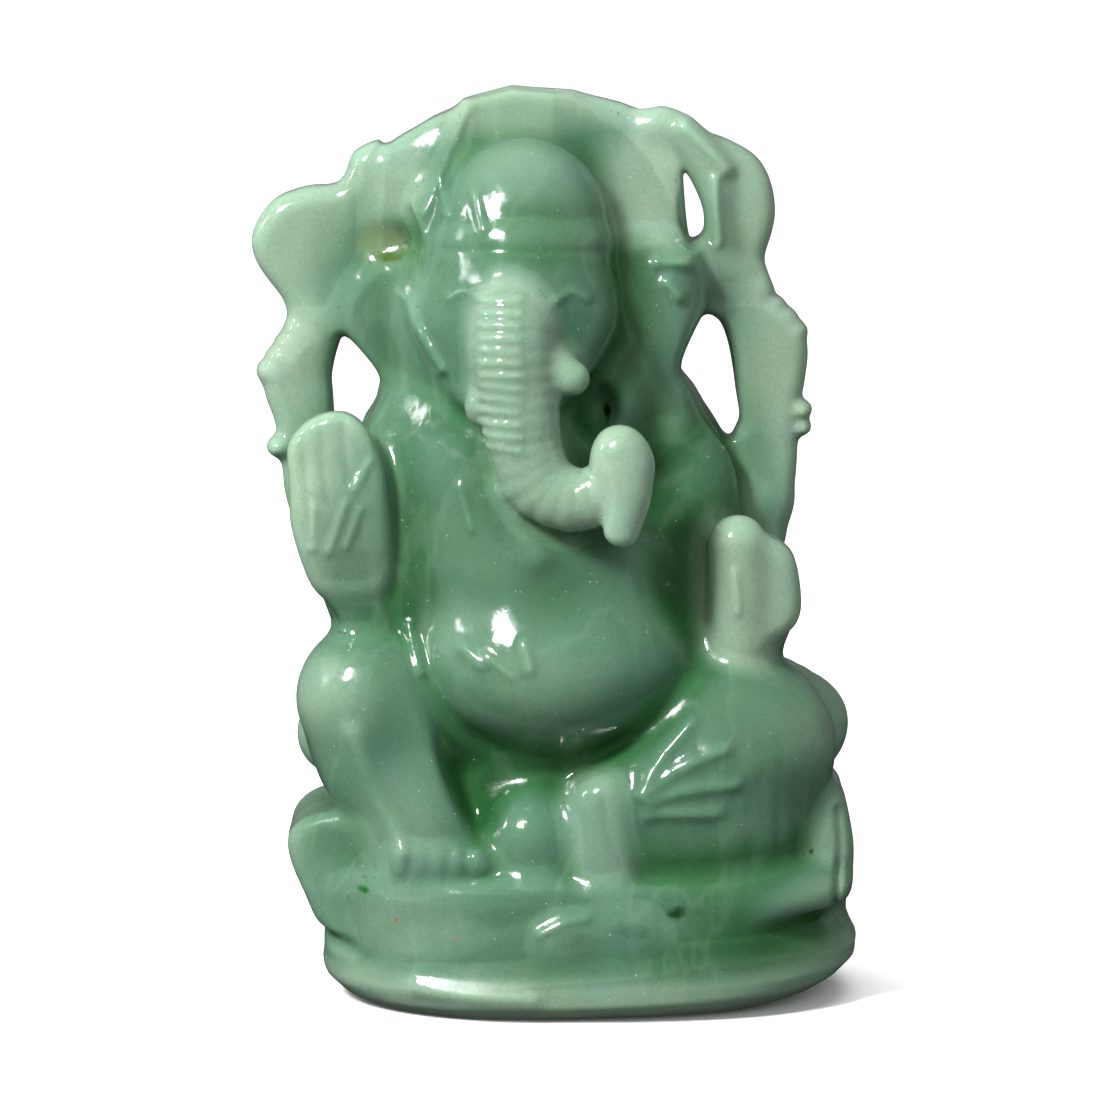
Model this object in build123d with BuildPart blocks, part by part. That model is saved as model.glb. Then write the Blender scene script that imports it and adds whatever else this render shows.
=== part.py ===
"""A seated Ganesha idol carved from one block of green stone, 90 mm tall.

The carving is laid out as its own carved members, one solid each, which meet face to face the way the
stone runs on from one to the next: the plinth and lotus seat, the body, limbs, head, crown, ears, trunk and
tusks, the pierced back slab, and what the four hands hold.

Frame: millimetres, +Z up. The origin is the centre of the plinth's flat underside, the idol faces -Y, and
its own right side is towards -X. The figure leans towards -X over its plinth.
"""
import math
import os

from build123d import *

# ---- driving dimensions -------------------------------------------------------------------------
HEIGHT = 90.0  # underside to the peak of the back slab
LEAN = -7.5  # x of the head, crown and back slab, which stand off the plinth's centre

PLINTH_HALF_WIDTH = 26.5
PLINTH_HALF_DEPTH = 17.0
PLINTH_TOP = 6.6
PLINTH_ROUND = 1.5
SEAT_TOP = 13.6
SEAT_HALF_WIDTH = 27.6
SEAT_HALF_DEPTH = 16.6
SEAT_ROUND = 1.8
SEAT_SHIFT = -1.4  # the seat's rim runs further out on the idol's right

SLAB_FRONT = 6.4  # y of the back slab's front face
SLAB_BACK = 12.8
ATTRIBUTE_FRONT = 4.6  # the pierced outer work stands a little proud of the slab
ATTRIBUTE_BACK = 11.4

BELLY = (-2.6, -1.6, 27.4, 14.4)  # x, y, z, radius
CHEST = (-5.2, -1.4, 45.0, 11.4)
NECK = (LEAN + 0.5, -1.4, 57.0, 7.6)
HEAD = (LEAN + 0.6, -3.4, 68.6)
HEAD_RADIUS = 9.2
CROWN_BASE = 75.0
CROWN_TIP = 87.2
EAR_THICKNESS = 3.4
HAND_THICKNESS = 5.0
TOE_COUNT = 5
TOE_PITCH = 1.7

os.makedirs("parts", exist_ok=True)


# ---- helpers ------------------------------------------------------------------------------------
def limb(*joints):
    """Adds a ball at each joint, given as (x, y, z, radius), and a cone between each two."""
    for x, y, z, radius in joints:
        with Locations((x, y, z)):
            Sphere(radius)
    for (*start, r_start), (*end, r_end) in zip(joints, joints[1:]):
        along = Vector(*end) - Vector(*start)
        with Locations(Plane(origin=start, z_dir=along)):
            Cone(r_start, r_end, along.length, align=(Align.CENTER, Align.CENTER, Align.MIN))


def plate(outline, front, back, peaked=False):
    """Adds a plate standing in the XZ plane, from y front to y back: a closed smooth outline of (x, z) points.

    A peaked outline has a corner at its first point.
    """
    with BuildSketch(Plane.XZ.offset(-back)) as face:
        with BuildLine():
            if peaked:
                Spline(*outline, outline[0])
            else:
                Spline(*outline, periodic=True)
        make_face()
    extrude(face.sketch, amount=back - front)


def leaf(outline, centre, turn, thickness):
    """Adds a plate about its centre, its outline in (across, up), turned by turn degrees about the vertical."""
    angle = math.radians(turn)
    across, facing = (math.cos(angle), math.sin(angle), 0), (math.sin(angle), -math.cos(angle), 0)
    with BuildSketch(Plane(origin=centre, x_dir=across, z_dir=facing)) as face:
        with BuildLine():
            Spline(*outline, periodic=True)
        make_face()
    extrude(face.sketch, amount=thickness / 2, both=True)


def cut_by(*neighbours):
    """Cuts the part back to the faces of its neighbours, so that the two meet and don't overlap."""
    for neighbour in neighbours:
        add(neighbour.part, mode=Mode.SUBTRACT)


# ---- pedestal -----------------------------------------------------------------------------------
with BuildPart() as plinth:
    with BuildSketch(Plane.XY):
        Ellipse(PLINTH_HALF_WIDTH, PLINTH_HALF_DEPTH)
    extrude(amount=PLINTH_TOP)
    fillet(plinth.edges().filter_by(GeomType.ELLIPSE), PLINTH_ROUND)

with BuildPart() as lotus_seat:
    with BuildSketch(Plane.XY.offset(PLINTH_TOP)):
        with Locations((SEAT_SHIFT, 0)):
            Ellipse(SEAT_HALF_WIDTH, SEAT_HALF_DEPTH)
    extrude(amount=SEAT_TOP - PLINTH_TOP)
    fillet(lotus_seat.edges().group_by(Axis.Z)[-1], SEAT_ROUND)

# A lotus petal curls up past the seat's rim at each end.
with BuildPart() as right_seat_petal:
    plate([(-27.0, 8.6), (-30.2, 14.2), (-26.6, 18.0), (-21.0, 15.6), (-21.6, 11.0)], -5.0, 8.0)
    cut_by(plinth, lotus_seat)

with BuildPart() as left_seat_petal:
    plate([(25.0, 9.0), (26.5, 14.6), (24.6, 19.4), (19.0, 17.0), (19.6, 11.0)], -5.0, 8.0)
    cut_by(plinth, lotus_seat)

# ---- body ---------------------------------------------------------------------------------------
with BuildPart() as torso:
    limb(BELLY, CHEST, NECK)
    cut_by(lotus_seat)

with BuildPart() as bolster:
    limb((-23.2, 6.6, 24.2, 6.3), (19.0, 6.6, 27.0, 6.5))
    cut_by(torso)

with BuildPart() as right_leg:
    limb((-13.0, 0.0, 27.0, 8.6), (-22.4, -4.0, 29.6, 7.4), (-16.6, -9.8, 18.2, 4.6))
    cut_by(torso, bolster, lotus_seat, right_seat_petal)

with BuildPart() as right_foot:
    limb((-15.6, -9.4, 16.6, 3.2), (-16.4, -12.6, 15.6, 3.4))
    for toe in range(TOE_COUNT):
        with Locations((-19.6 + TOE_PITCH * toe, -15.6, 14.9)):
            Sphere(1.1 + 0.1 * toe)
    split(bisect_by=Plane.XY.offset(SEAT_TOP))
    cut_by(right_leg)

with BuildPart() as left_leg:
    limb((8.0, 0.0, 27.0, 8.4), (15.6, -2.6, 24.8, 8.6), (13.2, -8.2, 18.6, 6.6), (5.6, -10.6, 18.4, 5.2))
    cut_by(torso, bolster, lotus_seat, left_seat_petal)

with BuildPart() as left_foot:
    limb((1.5, -12.2, 20.4, 3.3), (1.9, -12.8, 15.8, 2.9))
    cut_by(lotus_seat, torso, left_leg)

with BuildPart() as dhoti_pleat:
    limb((-5.6, -11.4, 17.8, 4.3), (-7.2, -11.9, 14.6, 3.6))
    cut_by(lotus_seat, torso, right_leg, right_foot, left_leg, left_foot)

# ---- back slab ----------------------------------------------------------------------------------
with BuildPart() as back_slab:
    slab_outline = [
        (LEAN, HEIGHT), (LEAN - 7.5, 87.2), (LEAN - 14.0, 84.0), (LEAN - 18.0, 80.0), (LEAN - 18.6, 73.0),
        (LEAN - 14.8, 65.0), (LEAN - 12.4, 56.0), (LEAN - 12.4, 42.0), (LEAN - 6.0, 31.0), (LEAN + 8.0, 31.0),
        (LEAN + 17.0, 42.0), (LEAN + 17.8, 54.0), (LEAN + 15.6, 64.0), (LEAN + 16.2, 73.0), (LEAN + 15.4, 83.0),
        (LEAN + 8.0, 88.4),
    ]
    plate(slab_outline, SLAB_FRONT, SLAB_BACK, peaked=True)
    cut_by(torso, bolster, right_leg, left_leg)

# ---- head ---------------------------------------------------------------------------------------
with BuildPart() as head:
    limb((*HEAD, HEAD_RADIUS), (HEAD[0] - 0.6, HEAD[1] - 4.2, HEAD[2] - 7.0, 5.6))
    cut_by(torso, back_slab)

with BuildPart() as crown_band:
    with Locations((LEAN, -1.2, CROWN_BASE)):
        Cylinder(9.4, 2.6)
    fillet(crown_band.edges().filter_by(GeomType.CIRCLE), 1.1)
    cut_by(head, back_slab)

with BuildPart() as crown:
    with BuildSketch(Plane.XZ.move(Location((LEAN, -0.6, 0)))):
        with BuildLine():
            dome = Spline((8.6, CROWN_BASE + 1.3), (7.6, CROWN_BASE + 6.0), (4.2, CROWN_TIP - 2.4), (1.4, CROWN_TIP))
            Polyline(dome @ 1, (0, CROWN_TIP), (0, CROWN_BASE + 1.3), dome @ 0)
        make_face()
    revolve(axis=Axis((LEAN, -0.6, 0), (0, 0, 1)))
    cut_by(head, crown_band, back_slab)

trunk_joints = (
    (-7.9, -10.0, 68.0, 4.6), (-8.0, -12.2, 62.0, 3.9), (-6.9, -12.8, 57.0, 3.5), (-4.4, -13.0, 53.2, 3.2),
    (-1.0, -13.4, 52.0, 2.9), (1.4, -14.2, 54.4, 2.7), (3.0, -14.6, 57.4, 2.8),
)
with BuildPart() as trunk:
    limb(*trunk_joints)
    cut_by(head, torso)

with BuildPart() as trunk_sweet:
    limb((3.9, -14.9, 53.6, 2.4), (3.3, -14.9, 50.4, 1.9))
    cut_by(trunk, torso)

with BuildPart() as right_tusk:
    limb((-11.8, -9.6, 62.8, 1.7), (-12.8, -12.6, 60.6, 1.5))
    cut_by(head, trunk)

with BuildPart() as left_tusk:
    limb((-4.4, -10.6, 64.4, 1.7), (-1.6, -12.4, 63.8, 1.4))
    cut_by(head, trunk)

# Each ear is a broad leaf beside the head, its outer edge turned forward.
ear_outline = [(-6.4, 1.6), (-4.0, 6.4), (2.0, 7.6), (6.2, 3.0), (5.2, -3.6), (0.6, -8.0), (-4.0, -5.4)]
with BuildPart() as right_ear:
    leaf(ear_outline, (LEAN - 10.8, 0.8, 67.2), 14, EAR_THICKNESS)
    cut_by(head, torso, back_slab, crown_band)

with BuildPart() as left_ear:
    leaf([(-across, up) for across, up in ear_outline], (LEAN + 12.4, 0.8, 68.2), -14, EAR_THICKNESS)
    cut_by(head, torso, back_slab, crown_band)

# ---- front arms ---------------------------------------------------------------------------------
with BuildPart() as right_front_arm:
    limb((-15.8, 1.0, 52.6, 5.6), (-22.8, -1.2, 40.6, 4.7), (-24.6, -4.4, 43.4, 3.9))
    cut_by(torso, back_slab, right_ear, right_leg, bolster)

with BuildPart() as right_front_hand:
    palm = [(-27.4, 43.4), (-29.2, 50.0), (-28.6, 56.4), (-25.0, 59.2), (-21.8, 56.6), (-20.6, 50.4), (-21.6, 43.4)]
    plate(palm, -8.6, -8.6 + HAND_THICKNESS)
    cut_by(right_front_arm, torso)

with BuildPart() as left_front_arm:
    limb((7.8, 1.6, 53.4, 5.7), (14.6, 1.0, 41.4, 4.9), (15.8, -3.6, 37.0, 4.1))
    cut_by(torso, back_slab, left_ear, left_leg, bolster)

with BuildPart() as left_front_hand:
    palm = [(12.6, 34.4), (12.0, 41.0), (13.4, 46.6), (17.4, 45.6), (20.2, 42.0), (20.0, 36.4), (17.4, 33.6)]
    plate(palm, -8.8, -8.8 + HAND_THICKNESS)
    cut_by(left_front_arm, torso, left_leg)

# ---- rear arms and what they hold ---------------------------------------------------------------
with BuildPart() as right_rear_arm:
    strip = [(-31.8, 55.4), (-31.6, 62.0), (-29.4, 66.2), (-26.6, 63.0), (-26.2, 56.4), (-27.2, 49.0), (-29.8, 47.6)]
    plate(strip, ATTRIBUTE_FRONT, ATTRIBUTE_BACK)
    limb((-27.6, 7.4, 49.4, 3.2), (-20.4, 8.0, 44.4, 4.2))
    cut_by(back_slab, right_front_arm, torso)

with BuildPart() as right_rear_hand:
    limb((-30.0, 8.0, 63.4, 3.3), (-27.4, 8.0, 66.6, 3.2))
    cut_by(right_rear_arm, back_slab)

with BuildPart() as axe:
    blade = [(-29.4, 79.6), (-33.0, 76.6), (-33.0, 72.0), (-30.0, 68.2), (-26.0, 66.2), (-22.6, 70.4), (-23.0, 77.6)]
    plate(blade, ATTRIBUTE_FRONT, ATTRIBUTE_BACK)
    cut_by(back_slab, right_rear_hand, right_rear_arm, right_ear)

with BuildPart() as left_rear_arm:
    strip = [(19.6, 45.6), (20.8, 52.0), (20.6, 60.0), (17.6, 64.0), (14.6, 62.0), (14.8, 54.0), (15.2, 47.6)]
    plate(strip, ATTRIBUTE_FRONT, ATTRIBUTE_BACK)
    limb((16.6, 7.6, 48.6, 3.4), (10.2, 8.0, 46.0, 4.2))
    cut_by(back_slab, left_front_arm, torso)

with BuildPart() as left_rear_hand:
    limb((17.8, 8.0, 63.6, 3.3), (14.4, 8.0, 68.0, 3.2))
    cut_by(left_rear_arm, back_slab)

with BuildPart() as noose:
    loop = [(8.4, 88.2), (13.0, 86.6), (17.4, 82.0), (18.0, 75.4), (15.6, 69.4), (10.8, 68.4), (8.6, 78.0), (6.6, 84.0)]
    plate(loop, ATTRIBUTE_FRONT, ATTRIBUTE_BACK)
    with BuildSketch(Plane.XZ.offset(-ATTRIBUTE_BACK)):
        with Locations(Location((10.4, 77.2), 8)):
            Ellipse(1.3, 3.3)
    extrude(amount=ATTRIBUTE_BACK - ATTRIBUTE_FRONT, mode=Mode.SUBTRACT)
    cut_by(back_slab, left_rear_hand, left_rear_arm)

# ---- mouse at the foot of the seat --------------------------------------------------------------
with BuildPart() as mouse:
    limb((-1.4, -14.6, 8.0, 2.5), (5.2, -14.2, 9.0, 2.9))
    cut_by(plinth, lotus_seat)

# ---- write one file per carved member -----------------------------------------------------------
members = {
    "plinth": plinth, "lotus_seat": lotus_seat, "right_seat_petal": right_seat_petal,
    "left_seat_petal": left_seat_petal, "torso": torso, "bolster": bolster, "right_leg": right_leg,
    "right_foot": right_foot, "left_leg": left_leg, "left_foot": left_foot, "dhoti_pleat": dhoti_pleat,
    "back_slab": back_slab, "head": head, "crown_band": crown_band, "crown": crown, "trunk": trunk,
    "trunk_sweet": trunk_sweet, "right_tusk": right_tusk, "left_tusk": left_tusk, "right_ear": right_ear,
    "left_ear": left_ear, "right_front_arm": right_front_arm, "right_front_hand": right_front_hand,
    "left_front_arm": left_front_arm, "left_front_hand": left_front_hand, "right_rear_arm": right_rear_arm,
    "right_rear_hand": right_rear_hand, "axe": axe, "left_rear_arm": left_rear_arm,
    "left_rear_hand": left_rear_hand, "noose": noose, "mouse": mouse,
}
for name, member in members.items():
    member.part.label = name
    export_step(member.part, f"parts/{name}.step")
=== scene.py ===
"""A seated Ganesha idol carved from one block of polished green stone, 90 mm tall.

The stone is sculpted as one distance field in millimetres: every carved member is a set of soft shapes, the
members run into each other the way stone does, and grooves and hollows are cut into the whole. The field is
then meshed once, and each member keeps its own closed mesh, which meets its neighbours' meshes exactly.
"""

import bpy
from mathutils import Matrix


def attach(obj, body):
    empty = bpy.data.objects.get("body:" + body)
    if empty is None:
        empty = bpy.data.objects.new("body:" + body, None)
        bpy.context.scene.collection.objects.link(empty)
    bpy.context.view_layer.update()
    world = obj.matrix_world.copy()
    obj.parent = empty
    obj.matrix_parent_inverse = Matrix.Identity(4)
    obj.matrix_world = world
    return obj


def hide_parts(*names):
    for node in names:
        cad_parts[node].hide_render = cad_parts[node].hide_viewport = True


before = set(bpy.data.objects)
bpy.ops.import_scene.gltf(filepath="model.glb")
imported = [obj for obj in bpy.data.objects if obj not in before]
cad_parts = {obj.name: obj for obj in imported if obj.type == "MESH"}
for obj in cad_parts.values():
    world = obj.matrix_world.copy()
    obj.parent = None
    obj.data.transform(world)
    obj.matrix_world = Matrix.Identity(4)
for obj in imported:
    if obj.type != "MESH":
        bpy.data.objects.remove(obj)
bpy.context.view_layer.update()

import math
from collections import namedtuple

import bpy
import numpy as np
from mathutils import Euler, Vector

# ---- sizes, in millimetres like the CAD source ----
MM = 0.001  # one millimetre in Blender's metres
STEP = 0.3  # grid spacing of the distance field
LOW, HIGH = np.array((-36.0, -19.5, -1.8)), np.array((29.0, 18.6, 92.4))
FAR = 50.0  # the distance given to places that no shape has reached

HEIGHT = 90.0
LEAN = -7.5  # x of the head, crown and back slab
SEAT_TOP = 13.6

# A shape is two corners of the box that it fits in, and its signed distance as a function of x, y and z.
Shape = namedtuple("Shape", "low high distance")


# ---- distance functions ----
def soft_min(a, b, blend):
    """The smaller of two distances, with a fillet about a quarter of blend deep where they are equal."""
    overlap = np.maximum(blend - np.abs(a - b), 0) / blend
    return np.minimum(a, b) - overlap * overlap * blend / 4


def egg(centre, radii, turn=(0, 0, 0)):
    """An ellipsoid, turned by degrees about x, y and z."""
    spin = np.array(Euler([math.radians(a) for a in turn]).to_matrix().transposed(), np.float32)
    centre, radii = np.array(centre, np.float32), np.array(radii, np.float32)
    reach = np.sqrt(((spin.T * radii) ** 2).sum(1))

    def distance(x, y, z):
        x, y, z = x - centre[0], y - centre[1], z - centre[2]
        near, steep = 0, 0
        for row, radius in zip(spin, radii):
            across = (row[0] * x + row[1] * y + row[2] * z) / radius
            near = near + across**2
            steep = steep + (across / radius) ** 2
        near = np.sqrt(near)
        return near * (near - 1) / np.maximum(np.sqrt(steep), 1e-4)

    return Shape(centre - reach, centre + reach, distance)


def curve_through(points, per_span=6, closed=False):
    """Points on a smooth curve through the given points, each a tuple of any length."""
    points = np.array(points, float)
    count = len(points)
    spans = count if closed else count - 1
    made = []
    for i in range(spans):
        if closed:
            before, start, end, after = (points[(i + k) % count] for k in (-1, 0, 1, 2))
        else:
            before, after = points[max(i - 1, 0)], points[min(i + 2, count - 1)]
            start, end = points[i], points[i + 1]
        for t in np.arange(per_span) / per_span:
            made.append(0.5 * (2 * start + (end - before) * t
                               + (2 * before - 5 * start + 4 * end - after) * t**2
                               + (3 * start - before - 3 * end + after) * t**3))
    if not closed:
        made.append(points[-1])
    return np.array(made, np.float32)


def limb(*joints, ring_depth=0.0, ring_pitch=1.0):
    """A smooth tube through (x, y, z, radius) joints, with rounded ends and, if asked, rings cut round it."""
    path = curve_through(joints, 5)
    centres, radii = path[:, :3], path[:, 3]
    low, high = (centres - radii[:, None]).min(0), (centres + radii[:, None]).max(0)

    def distance(x, y, z):
        best, along = FAR, 0.0
        run = 0.0
        for a, b, ra, rb in zip(centres, centres[1:], radii, radii[1:]):
            step = b - a
            length = float(np.linalg.norm(step))
            t = ((x - a[0]) * step[0] + (y - a[1]) * step[1] + (z - a[2]) * step[2]) / length**2
            t = np.clip(t, 0, 1)
            d = np.sqrt((x - a[0] - t * step[0]) ** 2 + (y - a[1] - t * step[1]) ** 2
                        + (z - a[2] - t * step[2]) ** 2) - (ra + t * (rb - ra))
            if ring_depth:
                along = np.where(d < best, run + t * length, along)
            best = np.minimum(best, d)
            run += length
        if ring_depth:
            wave = np.cos(2 * math.pi * along / ring_pitch)
            best = best + ring_depth * np.maximum(wave, 0) ** 2
        return best

    return Shape(low, high, distance)


def outline_distance(outline, x, z, smooth=True):
    """Signed distance in the XZ plane to a closed outline of (x, z) points, negative inside."""
    loop = curve_through(outline, 6, closed=True) if smooth else np.array(outline, np.float32)
    best, crossings = FAR**2, 0
    for (ax, az), (bx, bz) in zip(loop, np.roll(loop, -1, 0)):
        dx, dz = bx - ax, bz - az
        t = np.clip(((x - ax) * dx + (z - az) * dz) / max(dx * dx + dz * dz, 1e-6), 0, 1)
        best = np.minimum(best, (x - ax - t * dx) ** 2 + (z - az - t * dz) ** 2)
        if az != bz:
            crosses = ((z >= az) != (z >= bz)) & (x < ax + (z - az) * dx / dz)
            crossings = crossings + crosses
    return np.sqrt(best) * np.where(crossings % 2 == 1, -1, 1)


def plate(outline, front, back, edge=1.0, smooth=True):
    """A plate standing in the XZ plane with a rounded edge.

    Its front and back y are numbers, or functions of x and z.
    """
    points = np.array(outline, np.float32)
    front_at = front if callable(front) else lambda x, z: front
    back_at = back if callable(back) else lambda x, z: back
    corners = [face(x, z) for face in (front_at, back_at) for x, z in points]
    low = np.array((points[:, 0].min(), min(corners), points[:, 1].min()))
    high = np.array((points[:, 0].max(), max(corners), points[:, 1].max()))

    def distance(x, y, z):
        rim = outline_distance(outline, x, z, smooth) + edge
        faces = np.maximum(front_at(x, z) - y, y - back_at(x, z)) + edge
        inside = np.minimum(np.maximum(rim, faces), 0)
        return inside + np.hypot(np.maximum(rim, 0), np.maximum(faces, 0)) - edge

    return Shape(low - 1, high + 1, distance)


def drum(levels, centre, tilt=0.0, edge=1.2):
    """An upright drum, between an oval and a box in plan, whose half width and half depth change with height.

    Its levels climb with x by tilt.
    """
    power = 2.5
    heights, widths, depths = np.array(levels, float).T
    low = np.array((centre - widths.max(), -depths.max(), heights.min() - 2))
    high = np.array((centre + widths.max(), depths.max(), heights.max() + 2))

    def distance(x, y, z):
        level = z - tilt * (x - centre)
        half_width = np.interp(level, heights, widths).astype(np.float32)
        half_depth = np.interp(level, heights, depths).astype(np.float32)
        u, v = np.abs((x - centre) / half_width), np.abs(y / half_depth)
        near = (u**power + v**power + 1e-6) ** (1 / power)
        steep = np.sqrt((u / half_width) ** 2 + (v / half_depth) ** 2)
        side = near * (near - 1) / np.maximum(steep, 1e-3) + edge
        ends = np.maximum(heights[0] - level, level - heights[-1]) + edge
        inside = np.minimum(np.maximum(side, ends), 0)
        return inside + np.hypot(np.maximum(side, 0), np.maximum(ends, 0)) - edge

    return Shape(low, high, distance)


def spread(reached, mask, axis):
    """Carries what has been reached along every unbroken run of the mask on one axis."""
    mask, reached = np.moveaxis(mask, axis, 2), np.moveaxis(reached, axis, 2)
    run = np.cumsum(~mask.ravel())
    hit = np.bincount(run, reached.ravel()) > 0
    return np.moveaxis((hit[run] & mask.ravel()).reshape(mask.shape), 2, axis)


# ---- the block of stone ----
class Stone:
    """The distance field on a regular grid, with the member that owns each point."""

    def __init__(self):
        counts = np.ceil((HIGH - LOW) / STEP).astype(int) + 1
        self.axes = [(LOW[i] + STEP * np.arange(counts[i])).astype(np.float32) for i in range(3)]
        self.field = np.full(counts, FAR, np.float32)
        self.nearest = np.full(counts, FAR, np.float32)
        self.owner = np.zeros(counts, np.int8)
        self.names = [None]

    def window(self, low, high, margin=0.0):
        """The part of the grid within margin of a box, and its x, y and z as arrays that broadcast."""
        cut = []
        for axis, a, b in zip(self.axes, low, high):
            first = max(int(np.searchsorted(axis, a - margin)) - 1, 0)
            last = min(int(np.searchsorted(axis, b + margin)) + 1, len(axis))
            cut.append(slice(first, last))
        x, y, z = (axis[s] for axis, s in zip(self.axes, cut))
        return tuple(cut), x[:, None, None], y[None, :, None], z[None, None, :]

    def member(self, name, *shapes, blend=1.0, soft=1.2):
        """Adds a member: its shapes run into each other over blend, and the member into the rest over soft."""
        low = np.min([s.low for s in shapes], 0)
        high = np.max([s.high for s in shapes], 0)
        where, x, y, z = self.window(low, high, 3.0)
        body = None
        for shape in shapes:
            d = shape.distance(x, y, z)
            body = d if body is None else soft_min(body, d, blend)
        body = np.broadcast_to(body, self.field[where].shape)
        if name not in self.names:
            self.names.append(name)
        closer = body < self.nearest[where]
        self.owner[where][closer] = self.names.index(name)
        self.nearest[where] = np.where(closer, body, self.nearest[where])
        self.field[where] = soft_min(self.field[where], body, soft)

    def hollow(self, shape, soft=1.0):
        """Cuts a shape out of the stone, leaving a softened rim."""
        where, x, y, z = self.window(shape.low, shape.high, 3.0)
        self.field[where] = -soft_min(-self.field[where], shape.distance(x, y, z), soft)

    def score(self, points, width, depth, back):
        """Cuts a groove along (x, z) points into the stone in front of the y called back, and fades out there.

        A negative depth raises a ridge.
        """
        line = curve_through(points, 4)
        low = np.array((line[:, 0].min(), LOW[1], line[:, 1].min()))
        high = np.array((line[:, 0].max(), back, line[:, 1].max()))
        where, x, y, z = self.window(low, high, 2.5 * width)
        best = FAR**2
        for (ax, az), (bx, bz) in zip(line, line[1:]):
            dx, dz = bx - ax, bz - az
            t = np.clip(((x - ax) * dx + (z - az) * dz) / (dx * dx + dz * dz), 0, 1)
            best = np.minimum(best, (x - ax - t * dx) ** 2 + (z - az - t * dz) ** 2)
        reach = np.clip((back - y) / 1.5, 0, 1)
        self.field[where] += depth * np.exp(-best / (width * width)) * reach

    def stand_flat(self):
        """Cuts the underside level at z 0, with the sharp edge just broken."""
        z = self.axes[2][None, None, :]
        self.field = -soft_min(-self.field, z, 0.6)

    def wobble(self, spacing, depth, seed):
        """Moves the surface in and out at random over the given spacing, the way hand polishing leaves it."""
        random = np.random.default_rng(seed)
        weights = []
        for axis in self.axes:
            u = (axis - axis[0]) / spacing
            base = np.floor(u).astype(int)
            t = (u - base)[:, None]
            spline = np.hstack([
                (1 - t) ** 3,
                3 * t**3 - 6 * t**2 + 4,
                -3 * t**3 + 3 * t**2 + 3 * t + 1,
                t**3,
            ]) / 6
            matrix = np.zeros((len(axis), base.max() + 4), np.float32)
            for k in range(4):
                matrix[np.arange(len(axis)), base + k] = spline[:, k]
            weights.append(matrix)
        lattice = random.standard_normal([m.shape[1] for m in weights]).astype(np.float32)
        rough = np.einsum("ia,abc->ibc", weights[0], lattice)
        rough = np.einsum("jb,ibc->ijc", weights[1], rough)
        self.field += depth * np.einsum("kc,ijc->ijk", weights[2], rough, optimize=True)

    def join_strays(self):
        """Gives every scrap that is cut off from its own member to a member that it touches."""
        label = np.where(self.field < 0, self.owner, 0)
        for number in range(1, len(self.names)):
            inside = np.argwhere(label == number)
            box = tuple(slice(a - 1, b + 2) for a, b in zip(inside.min(0), inside.max(0)))
            body = label[box] == number
            joined = np.zeros(body.shape, bool)
            joined.flat[np.argmin(np.where(body, self.field[box], FAR))] = True
            size = 0
            while joined.sum() > size:
                size = joined.sum()
                for axis in range(3):
                    joined = spread(joined, body, axis)
            scrap = body & ~joined
            label[box][scrap] = 0
            while scrap.any():
                left = scrap.sum()
                for axis, step in ((0, 1), (0, -1), (1, 1), (1, -1), (2, 1), (2, -1)):
                    beside = np.roll(label[box], step, axis)
                    taken = scrap & (beside > 0)
                    label[box][taken] = beside[taken]
                    self.owner[box][taken] = beside[taken]
                    scrap &= ~taken
                if scrap.sum() == left:
                    self.field[box][scrap] = 0.1  # it floats free of every member, so it is cut away
                    break


stone = Stone()

# ---- pedestal ----
stone.member(
    "plinth",
    drum([(0.0, 20.0, 14.0), (0.7, 22.6, 15.8), (1.8, 24.8, 16.9), (3.2, 26.4, 16.7), (4.8, 26.6, 15.9),
          (6.4, 25.6, 15.5), (8.0, 24.6, 15.2)], 0.1, tilt=0.035, edge=0.8),
)
stone.member(
    "lotus_seat",
    drum([(1.0, 23.0, 15.0), (3.0, 24.6, 15.6), (6.0, 25.2, 15.7), (9.0, 26.0, 15.7), (11.5, 26.4, 15.6),
          (SEAT_TOP, 26.0, 15.2)], -1.3, edge=1.2),
    egg((15.6, -8.0, 11.2), (10.0, 6.2, 3.4), (0, -5, 8)),
    blend=3.0, soft=3.0,
)
stone.member(
    "right_seat_petal",
    plate([(-19.0, 18.6), (-25.0, 19.4), (-28.6, 18.4), (-30.4, 16.2), (-30.0, 13.4), (-28.6, 10.6),
           (-27.0, 8.0), (-24.6, 5.4), (-20.0, 9.0)], lambda x, z: -6.8 - 0.62 * (x + 28.0), 9.0, edge=1.4),
    soft=2.4,
)
stone.member(
    "left_seat_petal",
    plate([(18.6, 17.6), (21.4, 19.2), (23.4, 21.1), (24.9, 20.7), (25.6, 18.6), (26.0, 16.0), (25.9, 13.0),
           (25.4, 10.6), (25.1, 8.4), (18.6, 8.4)],
          lambda x, z: -8.2 + 0.30 * np.maximum(z - 15.0, 0) + 0.9 * np.maximum(x - 24.2, 0), 7.5, edge=0.8),
    soft=1.0,
)
stone.member(
    "mouse",
    egg((-2.6, -14.4, 8.5), (3.3, 2.1, 2.6), (0, -14, 0)),
    egg((3.4, -14.0, 9.4), (4.6, 2.2, 2.7), (0, 10, 0)),
    blend=1.5, soft=1.6,
)

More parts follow.
